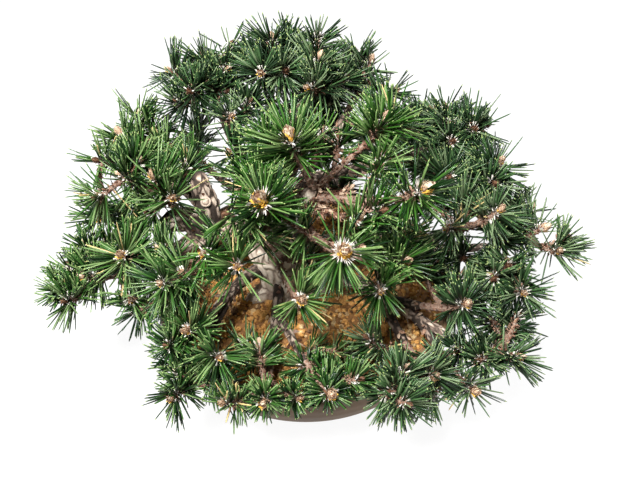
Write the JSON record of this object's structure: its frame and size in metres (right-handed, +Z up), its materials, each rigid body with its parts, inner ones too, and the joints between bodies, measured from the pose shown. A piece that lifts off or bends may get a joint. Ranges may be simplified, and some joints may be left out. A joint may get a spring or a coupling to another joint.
{
  "type": "bonsai pine tree in a pot",
  "caption": "Dwarf black pine grown as a bonsai: leaning trunk, spreading boughs with round masses of needles, in a shallow round clay bowl.",
  "frame": {"origin": "middle of the flat underside of the pot", "axes": "+Z up, -Y to the front that the picture shows, +X to the viewer's right"},
  "size_m": [0.4373, 0.3771, 0.2757],
  "materials": {
    "clay": "matt unglazed taupe clay",
    "soil": "coarse baked clay granules, dull",
    "bark": "rough flaking bark, dull",
    "needles": "waxy green needles, slightly glossy"
  },
  "bodies": {
    "root": {"pot": "clay", "soil": "soil", "trunk": "bark", "back_bough": "bark", "back_left_bough": "bark", "back_left_outer_bough": "bark", "back_right_bough": "bark", "back_right_outer_bough": "bark", "front_bough": "bark", "front_left_bough": "bark", "front_left_low_bough": "bark", "front_mid_bough": "bark", "front_right_bough": "bark", "left_back_bough": "bark", "left_bough": "bark", "left_front_bough": "bark", "left_outer_bough": "bark", "left_side_bough": "bark", "rear_bough": "bark", "rear_left_bough": "bark", "rear_right_bough": "bark", "right_back_bough": "bark", "right_bough": "bark", "right_front_bough": "bark", "right_front_low_bough": "bark", "right_low_bough": "bark", "right_mid_bough": "bark", "right_outer_bough": "bark", "back_left_needles": "needles", "back_left_outer_needles": "needles", "back_needles": "needles", "back_right_needles": "needles", "back_right_outer_needles": "needles", "centre_needles": "needles", "crown_back_right_needles": "needles", "crown_front_needles": "needles", "crown_left_needles": "needles", "crown_right_needles": "needles", "front_left_low_needles": "needles", "front_left_needles": "needles", "front_mid_needles": "needles", "front_needles": "needles", "front_right_needles": "needles", "left_back_needles": "needles", "left_front_needles": "needles", "left_mid_needles": "needles", "left_needles": "needles", "left_outer_needles": "needles", "left_side_needles": "needles", "rear_left_needles": "needles", "rear_needles": "needles", "rear_right_needles": "needles", "right_back_needles": "needles", "right_front_low_needles": "needles", "right_front_needles": "needles", "right_low_needles": "needles", "right_mid_needles": "needles", "right_needles": "needles", "right_outer_needles": "needles", "top_needles": "needles"}
  },
  "joints": []
}
